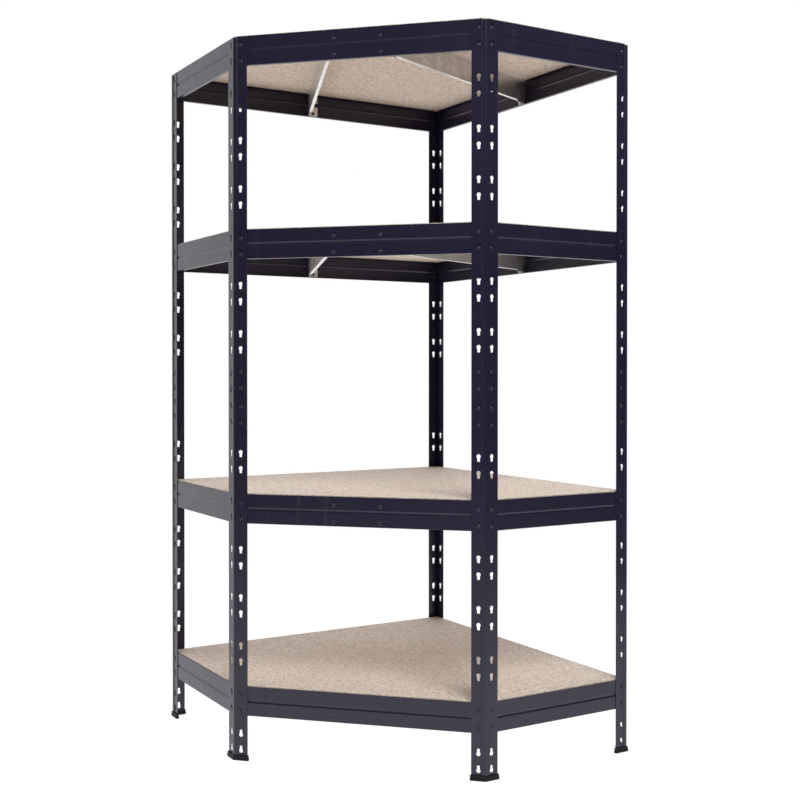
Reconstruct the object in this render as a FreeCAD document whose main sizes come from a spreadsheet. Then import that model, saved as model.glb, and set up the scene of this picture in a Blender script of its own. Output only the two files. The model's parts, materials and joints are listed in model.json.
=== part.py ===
import FreeCAD, Part
import math
import os
import Sketcher

# Boltless corner shelving. Five angle posts stand on the corners of a square with one
# corner cut off. Each post is two equal half-posts joined by an inner splice. On every
# level five steel beams hook into the posts' keyholes by headed rivets, a pentagonal
# board lies loose inside the beams' raised rims, and two channels run under the board
# from the slanting front beam to the middle of each wall beam.
#
# Row frame: +Z up, the floor at Z = 0, the walls along X and Y, and the origin in the
# middle of the square. The left wall is the plane x = -wall_length / 2 and the right
# wall is the plane y = +wall_length / 2.

DIMENSIONS = (
    ("wall_length", 890, "outer length of each of the two wall sides"),
    ("shelf_depth", 440, "outer length of the two end sides"),
    ("half_post_length", 898.5, "length of one half-post"),
    ("post_flange", 35.5, "flange width of a post, from its apex"),
    ("post_sheet", 1.2, "sheet thickness of a post"),
    ("band_width", 8.8, "raised band beside the apex of a post"),
    ("band_slope", 1.6, "width of the slope beside the raised band"),
    ("band_step", 1.5, "how far the flange lies behind the raised band"),
    ("apex_radius", 1.8, "outer bend radius at the apex of a post"),
    ("keyhole_inset", 18, "keyhole column, from the apex"),
    ("bulb_radius", 5.05, "radius of a keyhole's wide end"),
    ("bulb_rise", 7, "middle of a keyhole's wide end, from the rivet rest"),
    ("neck_half_width", 3.6, "half width of a keyhole's slot at the wide end"),
    ("slot_half_width", 3.1, "half width of a keyhole's slot at its flat end"),
    ("slot_end_drop", 5.6, "flat end of a keyhole's slot, from the rivet rest"),
    ("pair_gap", 40, "height between the two keyholes of a pair"),
    ("pair_pitch", 120, "height between two pairs"),
    ("first_rest", 19, "first rivet rest, below the top of a half-post"),
    ("pair_count", 7, "upright keyhole pairs in a half-post"),
    ("last_rest", 27.4, "lowest rivet rest of the upside-down pair, above the end"),
    ("splice_sheet", 1.5, "sheet thickness of a splice"),
    ("splice_leg", 32.5, "leg width of a splice, from the post's apex"),
    ("splice_below", 80, "splice below the joint of the half-posts"),
    ("splice_above", 87, "splice above the joint of the half-posts"),
    ("foot_floor", 3, "foot thickness under a post"),
    ("foot_height", 12.5, "overall height of a foot"),
    ("foot_rim_height", 5, "height of the foot's wider lower rim"),
    ("foot_wall", 2, "wall thickness of a foot"),
    ("foot_rim", 0.7, "how far the lower rim stands out from the foot"),
    ("beam_height", 73, "height of a beam"),
    ("beam_sheet", 1, "sheet thickness of a beam"),
    ("beam_setback", 2.8, "outer face of a beam, behind the outer plane of the posts"),
    ("bottom_bend_radius", 1.5, "outer bend radius along the bottom of a beam"),
    ("hem_bend_radius", 0.9, "radius of the folded rim's two top edges"),
    ("rim_height", 7, "height of a beam's rim above the ledge for the board"),
    ("ledge_width", 12, "beam ledge, from the outer face of the beam"),
    ("base_width", 10.5, "bottom flange, from the outer face of the beam"),
    ("groove_depth", 1.9, "depth of the groove along a beam"),
    ("groove_width", 8.4, "width of the groove along a beam"),
    ("groove_drop", 36.5, "middle of the groove, below the top of a beam"),
    ("beam_end_gap", 8.8, "end of a beam, from the apex of the post"),
    ("ledge_end_gap", 17, "end of the ledge and bottom flange, from the apex"),
    ("rivet_drop", 22, "upper rivet, below the top of a beam"),
    ("shank_radius", 3.2, "radius of a rivet's shank"),
    ("hole_clearance", 0.1, "radial clearance of a rivet hole"),
    ("head_radius", 4.8, "radius of a rivet's head"),
    ("head_height", 1.8, "height of a rivet's head"),
    ("shoulder_radius", 3.4, "radius where a rivet's head starts to round off"),
    ("shoulder_height", 1.2, "height of a rivet's head at that radius"),
    ("tail_radius", 4.6, "radius of a rivet's flattened tail"),
    ("tail_height", 1.2, "height of a rivet's flattened tail"),
    ("gap", 0.05, "clearance between touching pieces"),
    ("tie_offset", 59, "tie bar on the front beam, from the beam's middle"),
    ("tie_sheet", 1.2, "sheet thickness of a tie bar"),
    ("tie_height", 57.5, "height of a tie bar"),
    ("tie_flange", 9, "flange width of a tie bar"),
    ("tie_end_cut", 24, "end of the channel section, from the end tab's middle"),
    ("tab_width", 30, "width of a tie bar's end tab"),
    ("tab_top", 12, "top of a tie bar's end tab, below the top of a beam"),
    ("tab_height", 58, "height of a tie bar's end tab"),
    ("relief_margin", 2, "gap in an end tab, above and below the beam's groove"),
    ("board_thickness", 9, "thickness of a shelf board"),
    ("board_inset", 6.5, "edge of a board, from the outer plane of the posts"),
)

SQUARE_CORNER = 90.0
SLANT_CORNER = 135.0
TIE_SKEW = math.radians(22.5)
GROOVE_SLOPE = math.radians(27)
FULL_TURN = 360.0
TOLERANCE = 1e-6

# A level's rivets rest in one keyhole pair: its number, from the top of its half-post.
LEVELS = (
    (1, "lower", 7),
    (2, "lower", 3),
    (3, "upper", 5),
    (4, "upper", 1),
)

POST_HALVES = ("lower", "upper")


class Size:
    """A length together with the spreadsheet expression that gives it."""

    def __init__(self, value, text):
        self.value = value
        self.text = text

    def __add__(self, other):
        other = as_size(other)
        return Size(self.value + other.value, f"({self.text} + {other.text})")

    def __sub__(self, other):
        other = as_size(other)
        return Size(self.value - other.value, f"({self.text} - {other.text})")

    def __mul__(self, factor):
        factor = as_size(factor)
        return Size(self.value * factor.value, f"({self.text} * {factor.text})")

    def __neg__(self):
        return self * -1.0


def as_size(number):
    if isinstance(number, Size):
        return number
    return Size(float(number), f"({number:.12g})")


def fill_sheet(doc):
    """Write the driving dimensions and return each one as a Size under its own name."""
    sheet = doc.addObject("Spreadsheet::Sheet", "dims")
    sizes = {}
    for row, (alias, value, meaning) in enumerate(DIMENSIONS, start=1):
        sheet.set(f"A{row}", alias)
        sheet.set(f"B{row}", f"{value:g}")
        sheet.set(f"C{row}", meaning)
        sheet.setAlias(f"B{row}", alias)
    doc.recompute()
    for alias, _, _ in DIMENSIONS:
        sizes[alias] = Size(float(sheet.get(alias)), f"dims.{alias}")
    return sizes


doc = FreeCAD.newDocument("corner_shelving")
DIM = fill_sheet(doc)
ZERO = as_size(0)
HALF_WALL = DIM["wall_length"] * 0.5

# Depths behind the outer plane of a side: flange, beam web and splice.
FLANGE_INNER = DIM["band_step"] + DIM["post_sheet"]
WEB_INNER = DIM["beam_setback"] + DIM["beam_sheet"]
SPLICE_OUTER = FLANGE_INNER + DIM["gap"] * 2
SPLICE_INNER = SPLICE_OUTER + DIM["splice_sheet"]
TAB_OUTER = WEB_INNER + DIM["gap"]
TAB_INNER = TAB_OUTER + DIM["tie_sheet"]

# The corners, walked counter-clockwise seen from above. Each starts the side that
# runs on from it at the given heading.
CORNERS = (
    ("left_end", -HALF_WALL, -HALF_WALL, 0.0, SQUARE_CORNER),
    ("front_left", DIM["shelf_depth"] - HALF_WALL, -HALF_WALL, 45.0, SLANT_CORNER),
    ("front_right", HALF_WALL, HALF_WALL - DIM["shelf_depth"], 90.0, SLANT_CORNER),
    ("right_end", HALF_WALL, HALF_WALL, 180.0, SQUARE_CORNER),
    ("back_corner", -HALF_WALL, HALF_WALL, 270.0, SQUARE_CORNER),
)

SLANT_LENGTH = (DIM["wall_length"] - DIM["shelf_depth"]) * math.sqrt(2)
SIDES = (
    ("left_end", DIM["shelf_depth"]),
    ("front", SLANT_LENGTH),
    ("right_end", DIM["shelf_depth"]),
    ("right_wall", DIM["wall_length"]),
    ("left_wall", DIM["wall_length"]),
)


def new_body(label):
    body = doc.addObject("PartDesign::Body", label)
    body.Label = label
    return body


def origin_feature(body, role):
    for feature in body.Origin.OriginFeatures:
        if feature.Role == role:
            return feature
    raise ValueError(f"{body.Label} has no {role}")


def new_sketch(body, name, role, turn=None):
    """Start a sketch on one of the body's own origin planes, turned if asked."""
    sketch = body.newObject("Sketcher::SketchObject", name)
    sketch.AttachmentSupport = (origin_feature(body, role), [""])
    sketch.MapMode = "FlatFace"
    if turn is not None:
        sketch.AttachmentOffset = turn
    return sketch


def place(body, x, y, z, heading):
    """Stand the body at a point, turned about Z, with the point tied to the sheet."""
    body.Placement = FreeCAD.Placement(
        FreeCAD.Vector(x.value, y.value, z.value),
        FreeCAD.Rotation(FreeCAD.Vector(0, 0, 1), heading),
    )
    for axis, size in (("x", x), ("y", y), ("z", z)):
        body.setExpression(f".Placement.Base.{axis}", size.text)


def constrain(sketch, kind, *geometry, size=None):
    """Add one constraint. A size also ties it to the sheet."""
    if size is None:
        sketch.addConstraint(Sketcher.Constraint(kind, *geometry))
        return
    index = sketch.addConstraint(Sketcher.Constraint(kind, *geometry, size.value))
    sketch.setExpression(f"Constraints[{index}]", size.text)


def pin_point(sketch, geometry, point, x, y):
    """Fix one point of the sketch at (x, y)."""
    for kind, size, axis in (("DistanceX", x, -2), ("DistanceY", y, -1)):
        if size is ZERO:
            constrain(sketch, "PointOnObject", geometry, point, axis)
        else:
            constrain(sketch, kind, -1, 1, geometry, point, size=size)


def draw_polygon(sketch, corners):
    """Draw a closed outline through the corners."""
    first = sketch.GeometryCount
    count = len(corners)
    points = [FreeCAD.Vector(x.value, y.value, 0) for x, y in corners]
    for index in range(count):
        edge = Part.LineSegment(points[index], points[(index + 1) % count])
        sketch.addGeometry(edge, False)
    for index in range(count):
        following = first + (index + 1) % count
        constrain(sketch, "Coincident", first + index, 2, following, 1)
    for index, (x, y) in enumerate(corners):
        pin_point(sketch, first + index, 1, x, y)


def draw_circle(sketch, x, y, radius):
    centre = FreeCAD.Vector(x.value, y.value, 0)
    index = sketch.GeometryCount
    sketch.addGeometry(Part.Circle(centre, FreeCAD.Vector(0, 0, 1), radius.value), False)
    constrain(sketch, "Radius", index, size=radius)
    pin_point(sketch, index, 3, x, y)


def draw_keyhole(sketch, x, rest, direction):
    """Draw a keyhole: a round wide end and a slot that tapers to a flat end.

    A rivet rests in the slot at the given height. direction is +1 where the wide end
    is above the rest and -1 where it is below.
    """
    radius = DIM["bulb_radius"]
    neck = DIM["neck_half_width"]
    slot = DIM["slot_half_width"]
    bulb_height = rest + DIM["bulb_rise"] * direction
    end_height = rest - DIM["slot_end_drop"] * direction
    centre = FreeCAD.Vector(x.value, bulb_height.value, 0)
    circle = Part.Circle(centre, FreeCAD.Vector(0, 0, 1), radius.value)
    lean = math.acos(neck.value / radius.value)
    if direction > 0:
        bulb_arc = Part.ArcOfCircle(circle, -lean, math.pi + lean)
    else:
        bulb_arc = Part.ArcOfCircle(circle, math.pi - lean, 2 * math.pi + lean)
    first_end = FreeCAD.Vector(x.value - slot.value * direction, end_height.value, 0)
    second_end = FreeCAD.Vector(x.value + slot.value * direction, end_height.value, 0)
    bulb = sketch.GeometryCount
    sketch.addGeometry(bulb_arc, False)
    sketch.addGeometry(Part.LineSegment(bulb_arc.EndPoint, first_end), False)
    sketch.addGeometry(Part.LineSegment(first_end, second_end), False)
    sketch.addGeometry(Part.LineSegment(second_end, bulb_arc.StartPoint), False)
    constrain(sketch, "Coincident", bulb, 2, bulb + 1, 1)
    constrain(sketch, "Coincident", bulb + 1, 2, bulb + 2, 1)
    constrain(sketch, "Coincident", bulb + 2, 2, bulb + 3, 1)
    constrain(sketch, "Coincident", bulb + 3, 2, bulb, 1)
    constrain(sketch, "Radius", bulb, size=radius)
    pin_point(sketch, bulb, 3, x, bulb_height)
    constrain(sketch, "DistanceX", -1, 1, bulb, 1, size=x + neck * direction)
    constrain(sketch, "DistanceX", -1, 1, bulb, 2, size=x - neck * direction)
    pin_point(sketch, bulb + 2, 1, x - slot * direction, end_height)
    pin_point(sketch, bulb + 2, 2, x + slot * direction, end_height)


def pad(body, sketch, name, length, symmetric=False):
    feature = body.newObject("PartDesign::Pad", name)
    feature.Profile = sketch
    feature.Length = length.value
    feature.setExpression("Length", length.text)
    if symmetric:
        feature.SideType = "Symmetric"
    return feature


def cut_through(body, sketch, name):
    """Cut the sketch through the whole body, to both sides of its plane."""
    feature = body.newObject("PartDesign::Pocket", name)
    feature.Profile = sketch
    feature.Type = "ThroughAll"
    feature.SideType = "Symmetric"
    return feature


def cut_both_sides(body, sketch, name, depth):
    """Cut the sketch to the same depth on both sides of its plane."""
    feature = body.newObject("PartDesign::Pocket", name)
    feature.Profile = sketch
    feature.SideType = "Symmetric"
    feature.Length = depth.value * 2
    feature.setExpression("Length", f"{depth.text} * 2")
    return feature


def mirror_body(body, plane, name):
    """Add the mirror image of everything made so far."""
    doc.recompute()
    feature = body.newObject("PartDesign::Mirrored", name)
    feature.TransformMode = "Whole shape"
    feature.MirrorPlane = (plane, [""])
    body.Tip = feature
    return feature


def round_edges(body, base, name, radius, wanted):
    """Round every edge of the base feature that the test accepts."""
    doc.recompute()
    edges = [
        f"Edge{number}"
        for number, edge in enumerate(base.Shape.Edges, start=1)
        if wanted(edge)
    ]
    if not edges:
        raise ValueError(f"{body.Label}: {name} finds no edge")
    feature = body.newObject("PartDesign::Fillet", name)
    feature.Base = (base, edges)
    feature.Radius = radius.value
    feature.setExpression("Radius", radius.text)
    return feature


def bisector_plane(body, corner):
    """The upright plane through the apex that halves the corner's angle."""
    plane = body.newObject("PartDesign::Plane", "bisector")
    plane.AttachmentSupport = (origin_feature(body, "XZ_Plane"), [""])
    plane.MapMode = "FlatFace"
    turn = FreeCAD.Rotation(FreeCAD.Vector(0, 1, 0), corner / 2)
    plane.AttachmentOffset = FreeCAD.Placement(FreeCAD.Vector(0, 0, 0), turn)
    return plane


def mitre(depth, corner):
    """Where a plane this deep behind the outer plane meets the corner's bisector."""
    return depth * (1 / math.tan(math.radians(corner / 2)))


def half_post(label, corner):
    """One half-post: an angle with a raised apex band and a column of keyhole pairs.

    It is drawn as its right-hand flange, along +X with its inside towards +Y, and the
    other flange is the mirror image.
    """
    sheet = DIM["post_sheet"]
    flange = DIM["post_flange"]
    step = DIM["band_step"]
    slope_start = DIM["band_width"]
    slope_end = slope_start + DIM["band_slope"]
    body = new_body(label)
    section = new_sketch(body, "flange_section", "XY_Plane")
    draw_polygon(section, (
        (ZERO, ZERO),
        (slope_start, ZERO),
        (slope_end, step),
        (flange, step),
        (flange, FLANGE_INNER),
        (slope_end - sheet * 0.5, FLANGE_INNER),
        (slope_start - sheet * 0.5, sheet),
        (mitre(sheet, corner), sheet),
    ))
    pad(body, section, "flange", DIM["half_post_length"])

    top_rest = DIM["half_post_length"] - DIM["first_rest"]
    column = DIM["keyhole_inset"]
    pair = new_sketch(body, "keyhole_pair", "XZ_Plane")
    for rest in (top_rest, top_rest - DIM["pair_gap"]):
        draw_keyhole(pair, column, rest, 1)
    keyholes = cut_through(body, pair, "keyholes")
    row = body.newObject("PartDesign::LinearPattern", "keyhole_column")
    row.Originals = [keyholes]
    row.Direction = (origin_feature(body, "Z_Axis"), [""])
    row.Reversed = True
    row.Mode = "Spacing"
    row.Offset = DIM["pair_pitch"].value
    row.setExpression("Offset", DIM["pair_pitch"].text)
    row.Occurrences = int(DIM["pair_count"].value)
    row.setExpression("Occurrences", DIM["pair_count"].text)
    body.Tip = row

    last = new_sketch(body, "upside_down_pair", "XZ_Plane")
    for rest in (DIM["last_rest"], DIM["last_rest"] + DIM["pair_gap"]):
        draw_keyhole(last, column, rest, -1)
    cut_through(body, last, "upside_down_keyholes")
    whole = mirror_body(body, bisector_plane(body, corner), "both_flanges")

    def at_apex(edge):
        box = edge.BoundBox
        upright = box.XLength + box.YLength < TOLERANCE
        return upright and abs(box.XMin) + abs(box.YMin) < TOLERANCE

    round_edges(body, whole, "apex_bend", DIM["apex_radius"], at_apex)
    return body


def splice(label, corner):
    """A plain angle inside the post that joins its two half-posts."""
    leg = DIM["splice_leg"]
    body = new_body(label)
    section = new_sketch(body, "leg_section", "XY_Plane")
    draw_polygon(section, (
        (mitre(SPLICE_OUTER, corner), SPLICE_OUTER),
        (leg, SPLICE_OUTER),
        (leg, SPLICE_INNER),
        (mitre(SPLICE_INNER, corner), SPLICE_INNER),
    ))
    pad(body, section, "leg", DIM["splice_below"] + DIM["splice_above"])
    holes = new_sketch(body, "rivet_holes", "XZ_Plane")
    radius = DIM["shank_radius"] + DIM["hole_clearance"]
    for height in splice_rivet_heights():
        draw_circle(holes, DIM["keyhole_inset"], height + DIM["splice_below"], radius)
    cut_through(body, holes, "rivet_hole_cut")
    mirror_body(body, bisector_plane(body, corner), "both_legs")
    return body


def splice_rivet_heights():
    """Heights of a splice's rivets, from the joint of the half-posts."""
    lower = -DIM["first_rest"]
    upper = DIM["last_rest"]
    return (
        lower - DIM["pair_gap"],
        lower,
        upper,
        upper + DIM["pair_gap"],
    )


def foot(label, corner):
    """A plastic cap under the post, with a slot that grips the sheet of both flanges."""
    wall = DIM["foot_wall"]
    rim = DIM["foot_rim"]
    gap = DIM["gap"]
    slot_outer = -gap
    slot_inner = FLANGE_INNER + gap
    slot_end = DIM["post_flange"] + gap
    body = new_body(label)
    for name, margin, height in (
        ("cap", wall, DIM["foot_height"]),
        ("rim", wall + rim, DIM["foot_rim_height"]),
    ):
        outer = slot_outer - margin
        inner = slot_inner + margin
        outline = new_sketch(body, f"{name}_outline", "XY_Plane")
        draw_polygon(outline, (
            (mitre(outer, corner), outer),
            (slot_end + margin, outer),
            (slot_end + margin, inner),
            (mitre(inner, corner), inner),
        ))
        pad(body, outline, name, height)
    slot = new_sketch(body, "slot_outline", "XY_Plane")
    draw_polygon(slot, (
        (mitre(slot_outer, corner), slot_outer),
        (slot_end, slot_outer),
        (slot_end, slot_inner),
        (mitre(slot_inner, corner), slot_inner),
    ))
    slot.AttachmentOffset = FreeCAD.Placement(
        FreeCAD.Vector(0, 0, DIM["foot_floor"].value), FreeCAD.Rotation())
    slot.setExpression(".AttachmentOffset.Base.z", DIM["foot_floor"].text)
    slot_cut = body.newObject("PartDesign::Pocket", "slot")
    slot_cut.Profile = slot
    slot_cut.Type = "ThroughAll"
    slot_cut.Reversed = True
    mirror_body(body, bisector_plane(body, corner), "both_sides")
    return body


def beam(label, span, holds_tie_bars):
    """A shelf beam along X, centred, with the posts' outer plane at y = 0 and its top at z = 0.

    holds_tie_bars lists where along the beam the tie bars' rivets pass through it.
    """
    sheet = DIM["beam_sheet"]
    outer = DIM["beam_setback"]
    hem = WEB_INNER + sheet
    bottom = -DIM["beam_height"]
    ledge_top = -DIM["rim_height"]
    ledge_end = outer + DIM["ledge_width"]
    base_end = outer + DIM["base_width"]
    depth = DIM["groove_depth"]
    groove_low = -DIM["groove_drop"] - DIM["groove_width"] * 0.5
    groove_high = groove_low + DIM["groove_width"]
    run = depth * (1 / math.tan(GROOVE_SLOPE))
    slant = sheet * math.tan(GROOVE_SLOPE / 2)
    body = new_body(label)
    section = new_sketch(body, "section", "YZ_Plane")
    draw_polygon(section, (
        (outer, bottom),
        (base_end, bottom),
        (base_end, bottom + sheet),
        (WEB_INNER, bottom + sheet),
        (WEB_INNER, groove_low - slant),
        (WEB_INNER + depth, groove_low + run - slant),
        (WEB_INNER + depth, groove_high - run + slant),
        (WEB_INNER, groove_high + slant),
        (WEB_INNER, ledge_top - sheet),
        (ledge_end, ledge_top - sheet),
        (ledge_end, ledge_top),
        (hem, ledge_top),
        (hem, ZERO),
        (outer, ZERO),
        (outer, groove_high),
        (outer + depth, groove_high - run),
        (outer + depth, groove_low + run),
        (outer, groove_low),
    ))
    length = span - DIM["beam_end_gap"] * 2
    rolled = pad(body, section, "rolled_section", length, symmetric=True)

    def outer_bend(edge):
        box = edge.BoundBox
        on_face = abs(box.YMin - outer.value) < TOLERANCE and box.YLength < TOLERANCE
        at_bottom = abs(box.ZMin - bottom.value) < TOLERANCE and box.ZLength < TOLERANCE
        return on_face and at_bottom and box.XLength > 1

    def hem_edge(edge):
        box = edge.BoundBox
        at_top = abs(box.ZMin) < TOLERANCE and box.ZLength < TOLERANCE
        return at_top and box.XLength > 1

    bottom_radius = DIM["bottom_bend_radius"]
    bottom_bend = round_edges(body, rolled, "bottom_bend", bottom_radius, outer_bend)
    round_edges(body, bottom_bend, "hem_bend", DIM["hem_bend_radius"], hem_edge)

    notch = new_sketch(body, "end_notches", "XY_Plane")
    for end in (-1, 1):
        notch_start = (span * 0.5 - DIM["ledge_end_gap"]) * end
        notch_end = (span * 0.5) * end
        draw_polygon(notch, (
            (notch_start, hem),
            (notch_end, hem),
            (notch_end, ledge_end + sheet),
            (notch_start, ledge_end + sheet),
        ))
    cut_through(body, notch, "end_notch_cut")

    holes = new_sketch(body, "rivet_holes", "XZ_Plane")
    radius = DIM["shank_radius"] + DIM["hole_clearance"]
    for along in beam_rivet_places(span) + holds_tie_bars:
        for drop in rivet_drops():
            draw_circle(holes, along, -drop, radius)
    cut_through(body, holes, "rivet_hole_cut")
    return body


def beam_rivet_places(span):
    """Where the rivets at a beam's two ends are, along the beam."""
    reach = span * 0.5 - DIM["keyhole_inset"]
    return (-reach, reach)


def rivet_drops():
    """How far the two rivets of a pair are below the top of the beam."""
    return (DIM["rivet_drop"], DIM["rivet_drop"] + DIM["pair_gap"])


# A tie bar's rivets on the front beam and on a wall beam. Both sit on the beam's inner
# face, and the line between them is equally skewed to the two beams.
FRONT_MIDDLE = DIM["shelf_depth"] * 0.5
SLANT_SHARE = 1 / math.sqrt(2)
FRONT_ANCHOR_X = FRONT_MIDDLE - DIM["tie_offset"] * SLANT_SHARE - TAB_OUTER * SLANT_SHARE
FRONT_ANCHOR_Y = -FRONT_MIDDLE - DIM["tie_offset"] * SLANT_SHARE + TAB_OUTER * SLANT_SHARE
WALL_ANCHOR_X = TAB_OUTER - HALF_WALL
TIE_RUN_X = FRONT_ANCHOR_X - WALL_ANCHOR_X
WALL_ANCHOR_Y = FRONT_ANCHOR_Y + TIE_RUN_X * math.tan(TIE_SKEW)
TIE_SPAN = TIE_RUN_X * (1 / math.cos(TIE_SKEW))
TIE_MIDDLE_X = (FRONT_ANCHOR_X + WALL_ANCHOR_X) * 0.5
TIE_MIDDLE_Y = (FRONT_ANCHOR_Y + WALL_ANCHOR_Y) * 0.5


def tie_places():
    """Where the tie bars' rivets are, along each of the five sides."""
    return (
        (),
        (-DIM["tie_offset"], DIM["tie_offset"]),
        (),
        (WALL_ANCHOR_Y,),
        (-WALL_ANCHOR_Y,),
    )


def tie_bar(label):
    """A channel along X under a board, with a skewed end tab riveted to each beam.

    z = 0 is the top of the beams, and the middle of each end tab's outer face is on y = 0.
    """
    sine = math.sin(TIE_SKEW)
    cosine = math.cos(TIE_SKEW)
    sheet = DIM["tie_sheet"]
    half_tab = DIM["tab_width"] * 0.5
    reach = TIE_SPAN * 0.5
    web_face = half_tab * cosine
    web_back = web_face - sheet
    flange_end = web_face - DIM["tie_flange"]
    top = -DIM["rim_height"] - DIM["gap"]
    bottom = top - DIM["tie_height"]
    body = new_body(label)
    section = new_sketch(body, "channel_section", "YZ_Plane")
    draw_polygon(section, (
        (web_face, top),
        (flange_end, top),
        (flange_end, top - sheet),
        (web_back, top - sheet),
        (web_back, bottom + sheet),
        (flange_end, bottom + sheet),
        (flange_end, bottom),
        (web_face, bottom),
    ))
    pad(body, section, "channel", (reach - DIM["tie_end_cut"]) * 2, symmetric=True)

    tab = new_sketch(body, "tab_outline", "XY_Plane")
    neck_start = reach - DIM["tie_end_cut"] * 2
    inner_bend = half_tab - sheet * ((1 - sine) / cosine)
    draw_polygon(tab, (
        (neck_start, web_back),
        (reach - sheet * cosine - inner_bend * sine, web_back),
        (reach - sheet * cosine + half_tab * sine, -half_tab * cosine - sheet * sine),
        (reach + half_tab * sine, -half_tab * cosine),
        (reach - half_tab * sine, web_face),
        (neck_start, web_face),
    ))
    tab_bottom = -DIM["tab_top"] - DIM["tab_height"]
    tab.AttachmentOffset = FreeCAD.Placement(
        FreeCAD.Vector(0, 0, tab_bottom.value), FreeCAD.Rotation())
    tab.setExpression(".AttachmentOffset.Base.z", tab_bottom.text)
    pad(body, tab, "tab", DIM["tab_height"])

    turn = FreeCAD.Rotation(FreeCAD.Vector(0, 1, 0), math.degrees(TIE_SKEW) + 90)
    tab_face = FreeCAD.Placement(FreeCAD.Vector(reach.value, 0, 0), turn)
    holes = new_sketch(body, "rivet_holes", "XZ_Plane", tab_face)
    holes.setExpression(".AttachmentOffset.Base.x", reach.text)
    for drop in rivet_drops():
        draw_circle(holes, ZERO, -drop, DIM["shank_radius"] + DIM["hole_clearance"])
    cut_both_sides(body, holes, "rivet_hole_cut", sheet * 2)

    relief = new_sketch(body, "groove_relief", "XZ_Plane", tab_face)
    relief.setExpression(".AttachmentOffset.Base.x", reach.text)
    relief_reach = DIM["tab_width"]
    relief_top = DIM["groove_width"] * 0.5 + DIM["relief_margin"] - DIM["groove_drop"]
    relief_bottom = relief_top - DIM["groove_width"] - DIM["relief_margin"] * 2
    draw_polygon(relief, (
        (-relief_reach, relief_bottom),
        (relief_reach, relief_bottom),
        (relief_reach, relief_top),
        (-relief_reach, relief_top),
    ))
    cut_both_sides(body, relief, "groove_relief_cut", DIM["groove_depth"] + DIM["gap"])
    mirror_body(body, origin_feature(body, "YZ_Plane"), "far_end")
    return body


def board(label):
    """The pentagonal shelf board, its underside at z = 0."""
    inset = DIM["board_inset"]
    square_edge = HALF_WALL - inset
    slant_edge = HALF_WALL - DIM["shelf_depth"] + mitre(inset, SLANT_CORNER)
    body = new_body(label)
    outline = new_sketch(body, "outline", "XY_Plane")
    draw_polygon(outline, (
        (-square_edge, -square_edge),
        (-slant_edge, -square_edge),
        (square_edge, slant_edge),
        (square_edge, square_edge),
        (-square_edge, square_edge),
    ))
    pad(body, outline, "sheet", DIM["board_thickness"])
    return body


def rivet_solid(seat, grip_end):
    """A rivet on the local Y axis: domed head outside the seat, flat tail past the grip."""
    shank = DIM["shank_radius"].value
    head = DIM["head_radius"].value
    tail = DIM["tail_radius"].value
    crown = seat - DIM["head_height"].value
    tail_end = grip_end + DIM["tail_height"].value
    shoulder_radius = DIM["shoulder_radius"].value
    shoulder = FreeCAD.Vector(shoulder_radius, seat - DIM["shoulder_height"].value, 0)
    outline = [
        FreeCAD.Vector(head, seat, 0),
        FreeCAD.Vector(shank, seat, 0),
        FreeCAD.Vector(shank, grip_end, 0),
        FreeCAD.Vector(tail, grip_end, 0),
        FreeCAD.Vector(tail, tail_end, 0),
        FreeCAD.Vector(0, tail_end, 0),
        FreeCAD.Vector(0, crown, 0),
    ]
    edges = [Part.makeLine(start, end) for start, end in zip(outline, outline[1:])]
    edges.append(Part.Arc(outline[-1], shoulder, outline[0]).toShape())
    face = Part.Face(Part.Wire(edges))
    return face.revolve(FreeCAD.Vector(0, 0, 0), FreeCAD.Vector(0, 1, 0), FULL_TURN)


def rivet_group(label, places):
    """Identical rivets as separate solids; each place is (rivet, x, y, z, heading)."""
    group = doc.addObject("Part::Feature", label)
    group.Label = label
    solids = []
    for rivet, x, y, z, heading in places:
        copy = rivet.copy()
        copy.Placement = FreeCAD.Placement(
            FreeCAD.Vector(x, y, z),
            FreeCAD.Rotation(FreeCAD.Vector(0, 0, 1), heading),
        )
        solids.append(copy)
    group.Shape = Part.makeCompound(solids)
    group.Placement = FreeCAD.Placement()
    return group


def side_middle(index):
    """The middle of a side's outer line and the side's heading."""
    _, start_x, start_y, heading, _ = CORNERS[index]
    _, end_x, end_y, _, _ = CORNERS[(index + 1) % len(CORNERS)]
    return (start_x + end_x) * 0.5, (start_y + end_y) * 0.5, heading


def level_top(half, pair):
    """Height of the beams' top edge where their rivets rest in a half-post's pair."""
    halves_below = POST_HALVES.index(half)
    half_top = DIM["foot_floor"] + DIM["half_post_length"] * (halves_below + 1)
    rest = half_top - DIM["first_rest"] - DIM["pair_pitch"] * (pair - 1)
    return rest + DIM["rivet_drop"]


def level_rivets(level, top):
    """The rivets of one level: two at each end of a beam and two at each end of a tie bar."""
    gap = DIM["gap"].value
    end_rivet = rivet_solid(DIM["band_step"].value - gap, WEB_INNER.value + gap)
    tie_rivet = rivet_solid(DIM["beam_setback"].value - gap, TAB_INNER.value + gap)
    places = []
    for index, (_, span) in enumerate(SIDES):
        middle_x, middle_y, heading = side_middle(index)
        cosine = math.cos(math.radians(heading))
        sine = math.sin(math.radians(heading))
        spots = [(end_rivet, along.value) for along in beam_rivet_places(span)]
        spots += [(tie_rivet, along.value) for along in tie_places()[index]]
        for rivet, along in spots:
            for drop in rivet_drops():
                x = middle_x.value + along * cosine
                y = middle_y.value + along * sine
                places.append((rivet, x, y, top.value - drop.value, heading))
    return rivet_group(f"rivets_level_{level}", places)


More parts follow.
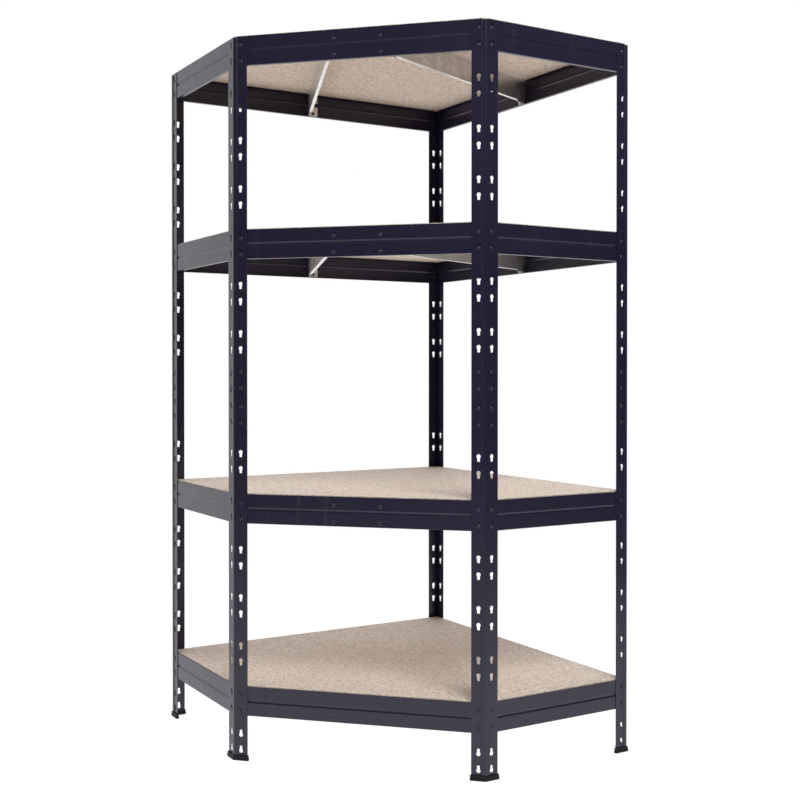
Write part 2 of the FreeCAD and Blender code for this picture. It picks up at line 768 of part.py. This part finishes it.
def splice_rivets(joint):
    """Four rivets through each flange of every post, into its splice."""
    gap = DIM["gap"].value
    rivet = rivet_solid(DIM["band_step"].value - gap, SPLICE_INNER.value + gap)
    inset = DIM["keyhole_inset"].value
    places = []
    for index, (_, x, y, heading, _) in enumerate(CORNERS):
        previous = CORNERS[index - 1][3]
        for flange_heading, along in ((heading, inset), (previous, -inset)):
            flange_x = x.value + along * math.cos(math.radians(flange_heading))
            flange_y = y.value + along * math.sin(math.radians(flange_heading))
            for height in splice_rivet_heights():
                z = joint.value + height.value
                places.append((rivet, flange_x, flange_y, z, flange_heading))
    return rivet_group("splice_rivets", places)


def build_posts():
    """Half-posts, splices and feet on the five corners."""
    pieces = []
    joint = DIM["foot_floor"] + DIM["half_post_length"]
    for name, x, y, heading, corner in CORNERS:
        for half, base in zip(POST_HALVES, (DIM["foot_floor"], joint)):
            piece = half_post(f"{name}_post_{half}", corner)
            place(piece, x, y, base, heading)
            pieces.append(piece)
        piece = splice(f"{name}_splice", corner)
        place(piece, x, y, joint - DIM["splice_below"], heading)
        pieces.append(piece)
        piece = foot(f"{name}_foot", corner)
        place(piece, x, y, ZERO, heading)
        pieces.append(piece)
    pieces.append(splice_rivets(joint))
    return pieces


def build_level(level, half, pair):
    """Five beams, two tie bars, one board and the rivets of a level."""
    pieces = []
    top = level_top(half, pair)
    for index, (name, span) in enumerate(SIDES):
        middle_x, middle_y, heading = side_middle(index)
        piece = beam(f"{name}_beam_level_{level}", span, tie_places()[index])
        place(piece, middle_x, middle_y, top, heading)
        pieces.append(piece)
    skew = math.degrees(TIE_SKEW)
    for name, x, y, heading in (
        ("left", TIE_MIDDLE_X, TIE_MIDDLE_Y, 180 - skew),
        ("right", -TIE_MIDDLE_Y, -TIE_MIDDLE_X, 270 + skew),
    ):
        piece = tie_bar(f"{name}_tie_bar_level_{level}")
        place(piece, x, y, top, heading)
        pieces.append(piece)
    piece = board(f"board_level_{level}")
    place(piece, ZERO, ZERO, top - DIM["rim_height"] + DIM["gap"], 0.0)
    pieces.append(piece)
    pieces.append(level_rivets(level, top))
    return pieces


def check_document(pieces):
    """Stop if any object failed or any piece is empty or broken."""
    for item in doc.Objects:
        if "Invalid" in item.State or "Error" in item.State:
            raise RuntimeError(f"{item.Label} did not recompute: {item.State}")
    for piece in pieces:
        if piece.Shape.isNull() or not piece.Shape.isValid():
            raise RuntimeError(f"{piece.Label} has no valid shape")


pieces = build_posts()
for level, half, pair in LEVELS:
    pieces += build_level(level, half, pair)
doc.recompute()
check_document(pieces)
os.makedirs("parts", exist_ok=True)
for piece in pieces:
    piece.Shape.exportStep(os.path.join("parts", f"{piece.Label}.step"))
    print(piece.Label, len(piece.Shape.Solids), round(piece.Shape.Volume, 1))
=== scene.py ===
"""Looks for the boltless corner shelving: camera, studio light, floor and procedural materials."""

import json
import math

import bmesh
import bpy
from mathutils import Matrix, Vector


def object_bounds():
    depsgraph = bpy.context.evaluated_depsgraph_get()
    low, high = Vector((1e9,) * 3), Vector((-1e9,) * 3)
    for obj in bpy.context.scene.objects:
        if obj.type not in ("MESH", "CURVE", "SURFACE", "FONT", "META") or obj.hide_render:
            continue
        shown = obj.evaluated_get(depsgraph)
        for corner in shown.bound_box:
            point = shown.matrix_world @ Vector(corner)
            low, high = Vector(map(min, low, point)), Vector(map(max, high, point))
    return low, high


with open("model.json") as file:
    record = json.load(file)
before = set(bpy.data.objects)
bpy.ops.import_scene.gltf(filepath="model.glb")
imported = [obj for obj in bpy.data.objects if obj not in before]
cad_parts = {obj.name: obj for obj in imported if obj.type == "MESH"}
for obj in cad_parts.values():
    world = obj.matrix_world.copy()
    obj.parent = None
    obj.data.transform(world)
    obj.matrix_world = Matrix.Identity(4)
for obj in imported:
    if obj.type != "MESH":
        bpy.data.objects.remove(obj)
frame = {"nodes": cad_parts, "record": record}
cad_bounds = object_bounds()

# Camera, in metres and degrees: it stands in front of the diagonal, to the right.
CAMERA_PLACE = (2.7216, -1.6016, 0.9730)
CAMERA_HEADING = 59.28
CAMERA_DROP = 0.504
CAMERA_LENS = 53.0
SENSOR_WIDTH = 36.0
CAMERA_SHIFT = (0.0081, -0.0241)

# Studio: brightness of the surroundings by direction, the floor and the soft box.
WHITE = (1.0, 1.0, 1.0, 1.0)
DARK_SIDE = (0.02, 0.02, 0.025, 1.0)
BRIGHT_SIDE = (1.1, 1.1, 1.1, 1.0)
BRIGHT_HEADING = (-0.93, -0.365, 0.0)
BRIGHT_START = 0.15
BRIGHT_FULL = 0.65
BACK_HEADING = (-0.819, 0.574, 0.0)
FLOOR_RADIUS = 2.6
FLOOR_SEGMENTS = 96
FLOOR_COLOR = (0.35, 0.35, 0.35, 1.0)
FLOOR_DRIFT_COLOR = (0.33, 0.33, 0.335, 1.0)
FLOOR_DRIFT = 0.05
FLOOR_ROUGHNESS = 0.9
FLOOR_GLOW = 0.86
KEY_PLACE = (2.5, -0.35, 3.3)
KEY_AIM = (0.1, -0.1, 0.4)
KEY_SIZE = 1.5
KEY_POWER = 80.0

# Coatings: the two tones that each one drifts between.
FRAME_TONES = ((0.0155, 0.0130, 0.033, 1.0), (0.0195, 0.0170, 0.039, 1.0))
RIVET_TONES = ((0.016, 0.014, 0.032, 1.0), (0.022, 0.020, 0.041, 1.0))
DUST = (0.09, 0.09, 0.115, 1.0)
RUBBED = (0.12, 0.12, 0.14, 1.0)

# Chipboard: one flake's tone from the darkest to the palest, the cloudy glue tone and stray bark.
FLAKE_TONES = [
    (0.0, (0.41, 0.30, 0.22, 1.0)),
    (0.2, (0.64, 0.505, 0.41, 1.0)),
    (0.5, (0.82, 0.69, 0.59, 1.0)),
    (1.0, (0.99, 0.91, 0.83, 1.0)),
]
GLUE = (0.74, 0.605, 0.51, 1.0)
BARK = (0.28, 0.18, 0.11, 1.0)

# Zinc and foot plastic: tones from the darkest to the palest.
ZINC_TONES = [(0.2, (0.66, 0.655, 0.64, 1.0)), (0.8, (0.88, 0.87, 0.85, 1.0))]
PLASTIC_TONES = [(0.45, (0.006, 0.006, 0.007, 1.0)), (0.8, (0.024, 0.024, 0.026, 1.0))]

# Sockets of a Mix node that mixes colours.
MIX_FIRST = 6
MIX_SECOND = 7
MIX_RESULT = 2


# ---------------------------------------------------------------- node helpers


class Tree:
    """A material's node tree, with short calls for adding and linking nodes."""

    def __init__(self, name):
        self.material = bpy.data.materials.new(name)
        self.material.use_nodes = True
        self.nodes = self.material.node_tree.nodes
        self.links = self.material.node_tree.links
        self.nodes.clear()
        self.output = self.nodes.new("ShaderNodeOutputMaterial")
        self.place = self.nodes.new("ShaderNodeTexCoord").outputs["Object"]

    def node(self, kind, inputs=None, **settings):
        made = self.nodes.new(kind)
        for key, value in settings.items():
            setattr(made, key, value)
        for key, value in (inputs or {}).items():
            self.feed(made.inputs[key], value)
        return made

    def feed(self, socket, value):
        """Links an output to the socket, or sets the socket to a plain value."""
        if isinstance(value, bpy.types.NodeSocket):
            self.links.new(value, socket)
        else:
            socket.default_value = value

    def stretched(self, place, scale):
        """Coordinates scaled along each axis."""
        return self.node("ShaderNodeMapping", {"Vector": place, "Scale": scale}).outputs["Vector"]

    def noise(self, scale, detail=2.0, roughness=0.5, vector=None, output="Fac"):
        inputs = {"Vector": vector or self.place, "Scale": scale}
        inputs.update({"Detail": detail, "Roughness": roughness})
        return self.node("ShaderNodeTexNoise", inputs).outputs[output]

    def cells(self, scale, vector=None):
        """Cells that each have one random value."""
        inputs = {"Vector": vector or self.place, "Scale": scale}
        color = self.node("ShaderNodeTexVoronoi", inputs).outputs["Color"]
        return self.node("ShaderNodeSeparateColor", {"Color": color}).outputs["Red"]

    def remap(self, value, low, high, to_low, to_high):
        """Stretches the range low..high of the value over to_low..to_high, and clips beyond it."""
        inputs = {"Value": value, "From Min": low, "From Max": high}
        inputs.update({"To Min": to_low, "To Max": to_high})
        return self.node("ShaderNodeMapRange", inputs).outputs["Result"]

    def ramp(self, value, stops):
        """A colour ramp whose stops are (position, colour) pairs."""
        made = self.node("ShaderNodeValToRGB", {"Fac": value})
        elements = made.color_ramp.elements
        for position, _ in stops[len(elements):]:
            elements.new(position)
        for element, (position, color) in zip(elements, stops):
            element.position = position
            element.color = color
        return made.outputs["Color"]

    def mix(self, factor, first, second):
        inputs = {"Factor": factor, MIX_FIRST: first, MIX_SECOND: second}
        return self.node("ShaderNodeMix", inputs, data_type="RGBA").outputs[MIX_RESULT]

    def plus(self, first, second, share=1.0):
        """The first value plus a share of the second one."""
        inputs = {0: second, 1: share, 2: first}
        return self.node("ShaderNodeMath", inputs, operation="MULTIPLY_ADD").outputs[0]

    def bump(self, height, strength, distance):
        inputs = {"Height": height, "Strength": strength, "Distance": distance}
        return self.node("ShaderNodeBump", inputs).outputs["Normal"]

    def surface(self, **inputs):
        """Ends the tree in one Principled shader with these sockets fed."""
        shader = self.node("ShaderNodeBsdfPrincipled")
        for key, value in inputs.items():
            self.feed(shader.inputs[key.replace("_", " ")], value)
        self.links.new(shader.outputs["BSDF"], self.output.inputs["Surface"])
        return self.material


# ------------------------------------------------------------------- materials


def powder_coat(name, tones):
    """Satin powder coat: tone drift, orange peel, rubbed streaks and dust held in its pores."""
    tree = Tree(name)
    drift = tree.noise(4.0, detail=3.0)
    color = tree.mix(tree.remap(drift, 0.3, 0.7, 0.0, 1.0), *tones)
    pores = tree.noise(1500.0, detail=1.0)
    color = tree.mix(tree.remap(pores, 0.64, 0.76, 0.0, 0.22), color, DUST)
    lengthwise = tree.stretched(tree.place, (1.0, 1.0, 0.06))
    streaks = tree.noise(60.0, detail=3.0, vector=lengthwise)
    color = tree.mix(tree.remap(streaks, 0.62, 0.8, 0.0, 0.10), color, RUBBED)
    gloss = tree.remap(tree.noise(55.0, detail=4.0), 0.3, 0.7, 0.28, 0.35)
    gloss = tree.plus(gloss, tree.remap(streaks, 0.62, 0.8, 0.0, 0.05))
    peel = tree.plus(tree.noise(260.0, detail=2.0), tree.noise(900.0, detail=2.0), 0.5)
    normal = tree.bump(peel, 0.20, 0.00007)
    return tree.surface(Base_Color=color, Roughness=gloss, Normal=normal, Specular_IOR_Level=0.5)


def chipboard(name):
    """Pressed wood chips: flakes of several sizes, a few dark ones, sanded nearly flat."""
    tree = Tree(name)
    wander = tree.noise(30.0, output="Color")
    bend = {0: wander, 1: (0.02, 0.02, 0.02), 2: tree.place}
    place = tree.node("ShaderNodeVectorMath", bend, operation="MULTIPLY_ADD").outputs["Vector"]
    along = tree.cells(290.0, tree.stretched(place, (1.0, 0.55, 1.0)))
    across = tree.cells(215.0, tree.stretched(place, (0.55, 1.0, 1.0)))
    fines = tree.cells(900.0, place)
    patch = tree.remap(tree.noise(160.0, detail=1.0), 0.4, 0.6, 0.0, 1.0)
    color = tree.mix(patch, tree.ramp(along, FLAKE_TONES), tree.ramp(across, FLAKE_TONES))
    color = tree.mix(0.22, color, tree.ramp(fines, FLAKE_TONES))
    cloud = tree.remap(tree.noise(9.0, detail=3.0), 0.25, 0.75, 0.0, 0.3)
    color = tree.mix(cloud, color, GLUE)
    strays = tree.remap(tree.cells(420.0, place), 0.965, 0.975, 0.0, 0.5)
    color = tree.mix(strays, color, BARK)
    normal = tree.bump(tree.plus(along, fines, 0.6), 0.3, 0.00025)
    rough = tree.remap(fines, 0.0, 1.0, 0.58, 0.8)
    return tree.surface(Base_Color=color, Roughness=rough, Normal=normal, Specular_IOR_Level=0.4)


def galvanised(name):
    """Dull zinc: soft spangle and cloudy patches."""
    tree = Tree(name)
    tone = tree.plus(0.0, tree.plus(tree.cells(140.0), tree.noise(25.0, detail=4.0)), 0.5)
    color = tree.ramp(tone, ZINC_TONES)
    gloss = tree.remap(tone, 0.2, 0.8, 0.42, 0.30)
    normal = tree.bump(tree.noise(900.0), 0.12, 0.00004)
    return tree.surface(Base_Color=color, Metallic=0.85, Roughness=gloss, Normal=normal)


def moulded_plastic(name):
    """Black moulded plastic with a fine sparked texture and scuffs that read lighter."""
    tree = Tree(name)
    scuff = tree.noise(90.0, detail=5.0, roughness=0.7)
    color = tree.ramp(scuff, PLASTIC_TONES)
    gloss = tree.remap(scuff, 0.3, 0.8, 0.5, 0.7)
    normal = tree.bump(tree.noise(1400.0, detail=1.0), 0.25, 0.00008)
    return tree.surface(Base_Color=color, Roughness=gloss, Normal=normal, Specular_IOR_Level=0.25)


MATERIALS = {
    "powder_coat": powder_coat("powder_coat_satin", FRAME_TONES),
    "rivet": powder_coat("rivet_satin", RIVET_TONES),
    "galvanised": galvanised("zinc_dull"),
    "chipboard": chipboard("chipboard_raw"),
    "foot_plastic": moulded_plastic("foot_plastic_black"),
}

for part in frame["record"]["subparts"]:
    node = frame["nodes"][part["node"]]
    node.data.materials.clear()
    node.data.materials.append(MATERIALS[part["material_slot"]])


# ----------------------------------------------------------------------- stage


def make_floor():
    """A flat pale disc under the shelving."""
    mesh = bpy.data.meshes.new("floor")
    shape = bmesh.new()
    bmesh.ops.create_circle(shape, cap_ends=True, segments=FLOOR_SEGMENTS, radius=FLOOR_RADIUS)
    shape.to_mesh(mesh)
    shape.free()
    floor = bpy.data.objects.new("floor", mesh)
    floor.location.z = cad_bounds[0][2]
    bpy.context.scene.collection.objects.link(floor)
    tree = Tree("floor_pale")
    drift = tree.noise(3.0, detail=2.0)
    share = tree.remap(drift, 0.3, 0.7, 0.0, FLOOR_DRIFT)
    color = tree.mix(share, FLOOR_COLOR, FLOOR_DRIFT_COLOR)
    pale = tree.surface(
        Base_Color=color,
        Roughness=FLOOR_ROUGHNESS,
        Emission_Color=WHITE,
        Emission_Strength=FLOOR_GLOW,
    )
    mesh.materials.append(pale)


def soft_box(name, place, aim, size, power):
    """A large square lamp that the camera doesn't see."""
    light = bpy.data.lights.new(name, "AREA")
    light.shape = "SQUARE"
    light.size = size
    light.energy = power
    lamp = bpy.data.objects.new(name, light)
    lamp.location = place
    lamp.rotation_euler = (Vector(aim) - Vector(place)).to_track_quat("-Z", "Y").to_euler()
    lamp.visible_camera = False
    bpy.context.scene.collection.objects.link(lamp)


def make_surroundings():
    """A studio that is white on the left and at the back, and dim everywhere else."""
    world = bpy.data.worlds.new("studio")
    bpy.context.scene.world = world
    world.use_nodes = True
    nodes = world.node_tree.nodes
    links = world.node_tree.links
    nodes.clear()
    heading = nodes.new("ShaderNodeTexCoord")

    def fade_in(direction, start, full):
        """Rises from 0 to 1 as the looked-at direction turns towards the given one."""
        along = nodes.new("ShaderNodeVectorMath")
        along.operation = "DOT_PRODUCT"
        along.inputs[1].default_value = direction
        fade = nodes.new("ShaderNodeMapRange")
        fade.interpolation_type = "SMOOTHSTEP"
        fade.inputs["From Min"].default_value = start
        fade.inputs["From Max"].default_value = full
        links.new(heading.outputs["Generated"], along.inputs[0])
        links.new(along.outputs["Value"], fade.inputs["Value"])
        return fade.outputs["Result"]

    brighter = nodes.new("ShaderNodeMath")
    brighter.operation = "MAXIMUM"
    links.new(fade_in(BRIGHT_HEADING, BRIGHT_START, BRIGHT_FULL), brighter.inputs[0])
    links.new(fade_in(BACK_HEADING, BRIGHT_START, BRIGHT_FULL), brighter.inputs[1])
    tint = nodes.new("ShaderNodeMix")
    tint.data_type = "RGBA"
    tint.inputs[MIX_FIRST].default_value = DARK_SIDE
    tint.inputs[MIX_SECOND].default_value = BRIGHT_SIDE
    lit = nodes.new("ShaderNodeBackground")
    plain = nodes.new("ShaderNodeBackground")
    plain.inputs["Color"].default_value = WHITE
    seen = nodes.new("ShaderNodeLightPath")
    choose = nodes.new("ShaderNodeMixShader")
    output = nodes.new("ShaderNodeOutputWorld")
    links.new(brighter.outputs["Value"], tint.inputs["Factor"])
    links.new(tint.outputs[MIX_RESULT], lit.inputs["Color"])
    links.new(seen.outputs["Is Camera Ray"], choose.inputs["Fac"])
    links.new(lit.outputs["Background"], choose.inputs[1])
    links.new(plain.outputs["Background"], choose.inputs[2])
    links.new(choose.outputs["Shader"], output.inputs["Surface"])


def make_camera():
    """The camera at the viewing angle, with its depth of field off."""
    data = bpy.data.cameras.new("camera")
    data.lens = CAMERA_LENS
    data.sensor_width = SENSOR_WIDTH
    data.shift_x, data.shift_y = CAMERA_SHIFT
    camera = bpy.data.objects.new("camera", data)
    heading = math.radians(CAMERA_HEADING)
    drop = math.radians(CAMERA_DROP)
    forward = Vector(
        (
            -math.sin(heading) * math.cos(drop),
            math.cos(heading) * math.cos(drop),
            -math.sin(drop),
        )
    )
    camera.location = CAMERA_PLACE
    camera.rotation_euler = forward.to_track_quat("-Z", "Y").to_euler()
    bpy.context.scene.collection.objects.link(camera)
    bpy.context.scene.camera = camera


make_floor()
make_surroundings()
soft_box("key_light", KEY_PLACE, KEY_AIM, KEY_SIZE, KEY_POWER)
make_camera()
bpy.context.scene.view_settings.view_transform = "Standard"
